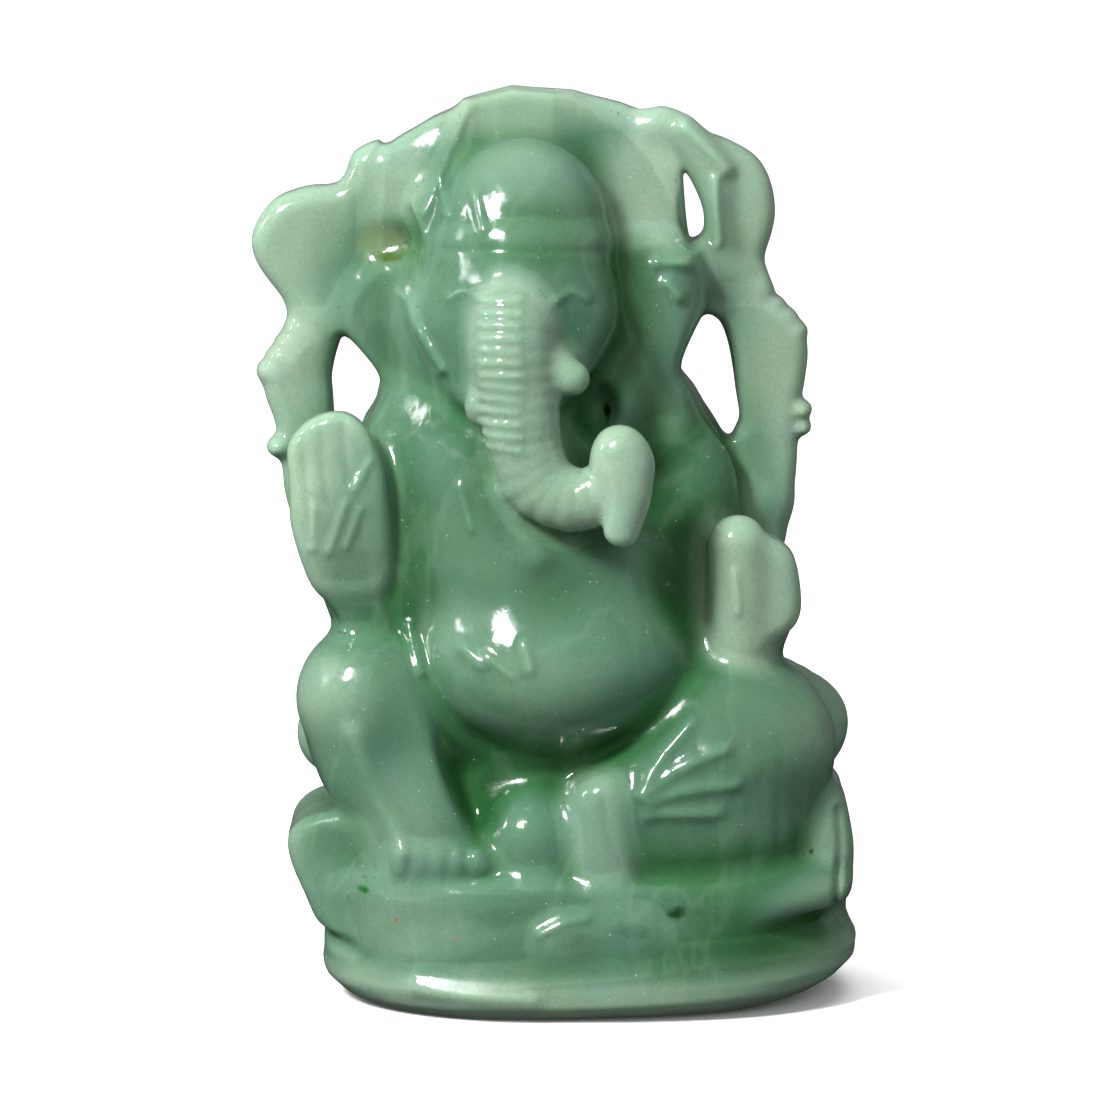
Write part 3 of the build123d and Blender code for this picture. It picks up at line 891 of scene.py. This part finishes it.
# ---- the stone's material ----
class Nodes:
    """Adds nodes and links to a material or a world. Inputs are numbers, tuples or other nodes' outputs."""

    def __init__(self, user):
        self.tree = user.node_tree

    def add(self, kind, output=0, settings={}, **inputs):
        node = self.tree.nodes.new("ShaderNode" + kind)
        for key, value in settings.items():
            setattr(node, key, value)
        for key, value in inputs.items():
            socket = node.inputs[int(key[1:])] if key[0] == "_" else node.inputs[key.replace("_", " ")]
            self.feed(socket, value)
        return node.outputs[output]

    def feed(self, socket, value):
        """Links an output to a socket, or sets the socket to a number or a tuple."""
        if isinstance(value, bpy.types.NodeSocket):
            self.tree.links.new(value, socket)
        else:
            socket.default_value = value

    def math(self, operation, a, b=0.0, clamp=False):
        return self.add("Math", settings=dict(operation=operation, use_clamp=clamp), _0=a, _1=b)

    def fit(self, value, low, high, start=0.0, end=1.0):
        """Start below low, end above high, and a smooth step between."""
        return self.add("MapRange", settings=dict(interpolation_type="SMOOTHSTEP"), Value=value, From_Min=low,
                        From_Max=high, To_Min=start, To_Max=end)

    def mix(self, amount, under, over, blend="MIX"):
        node = self.tree.nodes.new("ShaderNodeMix")
        node.data_type, node.blend_type = "RGBA", blend
        for socket, value in zip((node.inputs[0], node.inputs[6], node.inputs[7]), (amount, under, over)):
            if isinstance(value, tuple):
                value = (*value, 1)
            self.feed(socket, value)
        return node.outputs[2]

    def shade(self, amount, colour, tint):
        """The colour, by some amount multiplied by a tint."""
        return self.mix(amount, colour, self.mix(1.0, colour, tint, "MULTIPLY"))

    def noise(self, coords, per_mm, detail=3.0, distortion=0.0, roughness=0.5):
        return self.add("TexNoise", Vector=coords, Scale=per_mm / MM, Detail=detail, Distortion=distortion,
                        Roughness=roughness)

    def attribute(self, name):
        return self.add("Attribute", 2, dict(attribute_name=name))

    def ramp(self, value, stops):
        """A colour that blends between (position, colour) stops."""
        node = self.tree.nodes.new("ShaderNodeValToRGB")
        self.feed(node.inputs[0], value)
        elements = node.color_ramp.elements
        elements[0].position, elements[1].position = stops[0][0], stops[-1][0]
        for position, _ in stops[1:-1]:
            elements.new(position)
        for element, (position, colour) in zip(elements, stops):
            element.position = position
            element.color = (*colour, 1)
        return node.outputs[0]

    def near(self, coords, centre, radii, ragged):
        """1 at a centre in millimetres, falling to 0 at the radii, with a ragged edge."""
        offset = self.add("VectorMath", settings=dict(operation="SUBTRACT"), _0=coords,
                          _1=tuple(c * MM for c in centre))
        scaled = self.add("VectorMath", settings=dict(operation="DIVIDE"), _0=offset,
                          _1=tuple(r * MM for r in radii))
        away = self.add("VectorMath", 1, dict(operation="LENGTH"), _0=scaled)
        return self.fit(self.math("ADD", away, ragged), 0.3, 1.1, 1.0, 0.0)


# The stone's colours from thin stone to thick, and the light colour painted where light comes through thin
# stone.
# Their dark end is partly painted shade: it darkens the hollows and crevices where stone crowds round.
TONES_WITH_PAINTED_SHADE = [
    (0.16, (0.18, 0.29, 0.20)),
    (0.34, (0.12, 0.235, 0.15)),
    (0.50, (0.088, 0.19, 0.115)),
    (0.60, (0.048, 0.145, 0.06)),
    (0.74, (0.019, 0.088, 0.024)),
]
PAINTED_LIGHT_COLOUR = (0.31, 0.42, 0.31)

# Places in the stone, each with its centre and radii in millimetres: dark clouds of painted shade, some also a
# deeper tone of the stone, and patches of painted light, both with their strengths; duller patches of the
# polish; and small flecks with their colours, a few of them painted shade.
SHADE_AND_TONE_CLOUDS = [
    ((9.5, -2.0, 52.0), (8.0, 14.0, 13.0), 1.1),
    ((2.5, 0.0, 66.0), (5.0, 12.0, 12.0), 0.7),
    ((17.0, -11.0, 5.0), (17.0, 16.0, 9.0), 1.5),
    ((0.0, -6.0, 1.5), (34.0, 24.0, 6.0), 0.8),
    ((14.0, -13.0, 14.0), (11.0, 9.0, 5.0), 0.9),
    ((-3.0, -8.0, 24.0), (14.0, 9.0, 6.0), 0.45),
    ((7.0, -10.0, 34.0), (7.0, 10.0, 9.0), 0.6),
    ((-17.4, -5.0, 44.0), (4.5, 8.0, 8.0), 0.3),
    ((9.6, -5.0, 41.0), (3.6, 8.0, 9.0), 0.5),
    ((-12.0, -12.0, 22.0), (5.0, 6.0, 7.0), 0.7),
    ((2.4, -3.0, 70.0), (4.0, 12.0, 14.0), 0.8),
    ((-6.5, -8.0, 78.0), (9.0, 7.0, 9.0), 0.9),
]
SATIN = [
    ((-11.0, -16.5, 3.4), (9.0, 4.0, 2.2)),
    ((-7.2, -11.0, 48.2), (3.0, 5.0, 4.4)),
    ((-26.0, -9.0, 34.6), (1.6, 4.0, 2.4)),
]
PAINTED_LIGHT_PATCHES = [
    ((6.0, 3.0, 81.5), (6.5, 12.0, 8.5), 0.8),
    ((-20.0, 3.0, 82.0), (5.0, 12.0, 6.5), 0.6),
    ((-8.0, 4.0, 88.5), (9.0, 9.0, 4.0), 0.5),
    ((-13.5, -9.0, 38.5), (5.0, 7.0, 5.0), 0.3),
    ((-19.0, -12.0, 19.0), (6.0, 7.0, 8.0), 0.25),
    ((-18.0, -14.0, 9.5), (9.0, 7.0, 5.0), 0.4),
]
FLECKS_AND_SHADE_SPOTS = [
    ((8.3, -16.0, 10.9), (1.2, 2.0, 0.8), (0.006, 0.045, 0.004)),
    # Painted shade at the deep end of the seat's left groove.
    ((22.2, -9.4, 9.2), (2.2, 2.4, 0.9), (0.01, 0.07, 0.006)),
    ((-22.6, -11.0, 12.4), (0.7, 1.6, 0.5), (0.01, 0.1, 0.01)),
    ((-19.4, -13.6, 9.7), (0.45, 1.0, 0.35), (0.35, 0.13, 0.02)),
    ((-13.3, -15.6, 8.4), (0.45, 1.0, 0.45), (0.35, 0.15, 0.03)),
    ((21.6, -7.6, 15.6), (0.5, 1.4, 0.4), (0.02, 0.05, 0.01)),
    ((22.8, -7.0, 14.0), (0.4, 1.4, 0.5), (0.02, 0.05, 0.01)),
    ((-4.2, -10.8, 66.4), (0.4, 1.0, 0.4), (0.02, 0.06, 0.02)),
    # Painted shadow in the slot between the trunk, its sweet and the chest.
    ((1.5, -2.0, 58.9), (0.45, 3.0, 1.3), (0.002, 0.006, 0.001)),
    ((-20.8, 3.6, 75.0), (3.6, 3.4, 2.6), (0.13, 0.20, 0.10)),
    # Painted shade along the lower edge of the axe scoop.
    ((-20.0, 3.6, 73.6), (2.2, 3.0, 0.7), (0.05, 0.10, 0.02)),
]


def stone_material():
    """Green aventurine: clouded and grainy, lightened with painted light where the stone is thin or on the lit
    side, darkened with painted shade in hollows and crevices, and with a bright polish that is a little
    pitted.
    """
    material = bpy.data.materials.new("green_aventurine")
    material.use_nodes = True
    shader = material.node_tree.nodes["Principled BSDF"]
    shader.inputs["IOR"].default_value = 1.54
    shader.inputs["Subsurface Radius"].default_value = (0.6, 1.0, 0.7)
    shader.inputs["Subsurface Scale"].default_value = 2.4 * MM
    n = Nodes(material)
    coords = n.add("TexCoord", 3)
    fine, broad, bulk, seam, painted_light = (n.attribute(name) for name in ("fine", "broad", "bulk", "seam", "painted_light"))
    # Light isn't scattered under the surface where two members meet, so that no line shows there.
    n.feed(shader.inputs["Subsurface Weight"], n.fit(seam, 0.0, 0.04, 1.0, 0.0))

    # Painted light and shade: thin stone is painted light and greyish for the light that comes through it,
    # thick stone is dark green, and deep cuts and hollows get painted shade.
    cloud = n.noise(coords, 0.07, 3.0, 0.6)
    depth = n.math("ADD", broad, n.math("MULTIPLY", n.math("SUBTRACT", cloud, 0.5), 0.10))
    # Painted shade: dark clouds deepen the colour in hollows, under overhangs and on the side away from the
    # key light, and a few only deepen the stone's tone.
    for centre, radii, strength in SHADE_AND_TONE_CLOUDS:
        shade = n.near(coords, centre, radii, n.math("MULTIPLY", n.math("SUBTRACT", cloud, 0.5), 0.8))
        depth = n.math("ADD", depth, n.math("MULTIPLY", shade, 0.14 * strength))
    colour = n.ramp(depth, TONES_WITH_PAINTED_SHADE)
    # Painted light: patches on thin panes and on the lit left side are lightened, and so is all thin stone,
    # for light that comes through it.
    for centre, radii, strength in PAINTED_LIGHT_PATCHES:
        patch = n.near(coords, centre, radii, n.math("MULTIPLY", n.math("SUBTRACT", cloud, 0.5), 0.8))
        painted_light = n.math("MAXIMUM", painted_light, n.math("MULTIPLY", patch, strength))
    colour = n.mix(n.math("MAXIMUM", painted_light, n.fit(bulk, 0.20, 0.40, 0.9, 0.0)), colour, PAINTED_LIGHT_COLOUR)

    hue = n.noise(coords, 0.10, 2.0, 0.4)
    colour = n.shade(n.fit(hue, 0.35, 0.65, 0.0, 0.5), colour, (0.90, 1.0, 1.12))
    # Painted shade: fine crevices are darkened and made greener.
    cut = n.fit(fine, 0.60, 0.82, 0.0, 0.55)
    colour = n.shade(cut, colour, (0.40, 0.75, 0.36))

    # Wisps of paler stone, a speckled grain and a few bright mica flakes.
    drawn = n.add("Mapping", Vector=coords, Scale=(1.0, 1.0, 0.45), Rotation=(0.3, 0.5, 0.9))
    wisp = n.noise(drawn, 0.09, 3.0, 0.5, 0.55)
    wisps = n.fit(n.math("ABSOLUTE", n.math("SUBTRACT", wisp, 0.5)), 0.0, 0.05, 1.0, 0.0)
    colour = n.mix(n.math("MULTIPLY", wisps, 0.06), colour, (0.42, 0.56, 0.45))
    grain = n.noise(coords, 2.6, 3.0, 0.0, 0.7)
    colour = n.shade(n.fit(grain, 0.3, 0.7, 0.0, 0.34), colour, (0.62, 0.70, 0.60))
    flake = n.add("TexVoronoi", 0, dict(feature="F1"), Vector=coords, Scale=1.3 / MM, Randomness=1.0)
    flakes = n.math("MULTIPLY", n.fit(flake, 0.05, 0.16, 1.0, 0.0), n.fit(n.noise(coords, 0.8), 0.56, 0.66))
    colour = n.mix(n.math("MULTIPLY", flakes, 0.5), colour, (0.60, 0.74, 0.60))

    # Flecks: some are inclusions in the stone, and some are painted shade in the slot beside the trunk, a
    # groove end and the axe scoop's lower edge.
    ragged = n.math("MULTIPLY", n.math("SUBTRACT", n.noise(coords, 1.6, 3.0), 0.5), 1.1)
    for centre, radii, tint in FLECKS_AND_SHADE_SPOTS:
        colour = n.mix(n.near(coords, centre, radii, ragged), colour, tint)
    n.feed(shader.inputs["Base Color"], colour)

    # The polish is bright, with duller scuffed patches, and small pits break up every highlight.
    scuff = n.noise(coords, 0.35, 4.0, 1.0)
    roughness = n.fit(scuff, 0.42, 0.72, 0.10, 0.26)
    for centre, radii in SATIN:
        satin = n.math("MULTIPLY", n.near(coords, centre, radii, ragged), 0.40)
        roughness = n.math("MAXIMUM", roughness, satin)
    n.feed(shader.inputs["Roughness"], roughness)
    pits = n.math("ADD", n.noise(coords, 1.1, 4.0, 0.5), n.math("MULTIPLY", n.noise(coords, 4.5, 2.0), 0.3))
    bump = n.add("Bump", Strength=0.5, Distance=0.05 * MM, Height=pits)
    n.feed(shader.inputs["Normal"], bump)
    return material


green_stone = stone_material()
for number, name in enumerate(stone.names[1:], 1):
    piece = build_piece(f"{name}_carved", number, green_stone)
    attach(piece, "root")
    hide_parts(name)


# ---- stage, light and camera ----
def flat_material(name, colour, roughness):
    """One even colour with no pattern."""
    material = bpy.data.materials.new(name)
    material.use_nodes = True
    shader = material.node_tree.nodes["Principled BSDF"]
    shader.inputs["Base Color"].default_value = (*colour, 1)
    shader.inputs["Roughness"].default_value = roughness
    return material


bpy.ops.mesh.primitive_plane_add(size=4.0, location=(0, 0, 0))
floor = bpy.context.object
floor.name = "floor"
floor.data.materials.append(flat_material("pale_floor", (0.93, 0.93, 0.93), 0.9))
floor.visible_diffuse = floor.visible_glossy = False  # the white floor doesn't light the stone from below

TARGET = Vector((-4.2, 0.0, 44.55)) * MM  # what the lamps and the camera look at


def area_light(name, azimuth, elevation, distance, width, height, power):
    """A soft box aimed at the idol: azimuth 0 is in front of it, and 90 is on its own left side."""
    a, e = math.radians(azimuth), math.radians(elevation)
    away = Vector((math.sin(a) * math.cos(e), -math.cos(a) * math.cos(e), math.sin(e)))
    light = bpy.data.lights.new(name, "AREA")
    light.shape = "RECTANGLE"
    light.size, light.size_y = width, height
    light.energy = power
    lamp = bpy.data.objects.new(name, light)
    lamp.location = TARGET + away * distance
    lamp.rotation_euler = (-away).to_track_quat("-Z", "Y").to_euler()
    bpy.context.scene.collection.objects.link(lamp)
    return lamp


area_light("key", azimuth=-42, elevation=40, distance=0.6, width=0.09, height=0.12, power=5.0)
area_light("side", azimuth=-84, elevation=24, distance=0.6, width=0.04, height=0.16, power=0.5)
fill = area_light("fill", azimuth=20, elevation=26, distance=0.8, width=0.4, height=0.4, power=1.9)
fill.visible_glossy = False

# A broad light from above falls on the floor alone, which keeps it nearly white with a faint shadow.
sky = bpy.data.lights.new("overhead", "SUN")
sky.energy = 2.6
sky.angle = math.radians(70)
overhead = bpy.data.objects.new("overhead", sky)
overhead.rotation_euler = (math.radians(-12), math.radians(-8), 0)
lit_floor = bpy.data.collections.new("lit_by_overhead")
lit_floor.objects.link(floor)
overhead.light_linking.receiver_collection = lit_floor
bpy.context.scene.collection.objects.link(overhead)

# The studio glows brighter on the idol's right, is dim below the horizon, and is dim in reflections, so that
# the polished stone keeps its deep colour.
world = bpy.data.worlds.new("studio")
bpy.context.scene.world = world
world.use_nodes = True
background = world.node_tree.nodes["Background"]
background.inputs["Color"].default_value = (1, 1, 1, 1)
studio = Nodes(world)
sideways = studio.add("SeparateXYZ", Vector=studio.add("TexCoord"))
upward = sideways.node.outputs[2]
in_reflections = studio.add("LightPath", 3)
dimmed = studio.math("SUBTRACT", 1.0, studio.math("MULTIPLY", in_reflections, 0.7))
glow = studio.fit(sideways, -0.9, 0.9, 0.72, 0.36)
glow = studio.math("MULTIPLY", glow, studio.fit(upward, -0.25, 0.05, 0.25, 1.0))
studio.feed(background.inputs["Strength"], studio.math("MULTIPLY", glow, dimmed))

CAMERA_DISTANCE = 0.549
CAMERA_ELEVATION = math.radians(9)
camera = bpy.data.objects.new("camera", bpy.data.cameras.new("camera"))
camera.data.lens = 180
camera.data.sensor_width = 36
camera.data.clip_start = 0.01
toward_camera = Vector((0, -math.cos(CAMERA_ELEVATION), math.sin(CAMERA_ELEVATION)))
camera.location = TARGET + CAMERA_DISTANCE * toward_camera
camera.rotation_euler = (math.radians(90) - CAMERA_ELEVATION, 0, 0)
bpy.context.scene.collection.objects.link(camera)
bpy.context.scene.camera = camera
bpy.context.scene.view_settings.view_transform = "Standard"
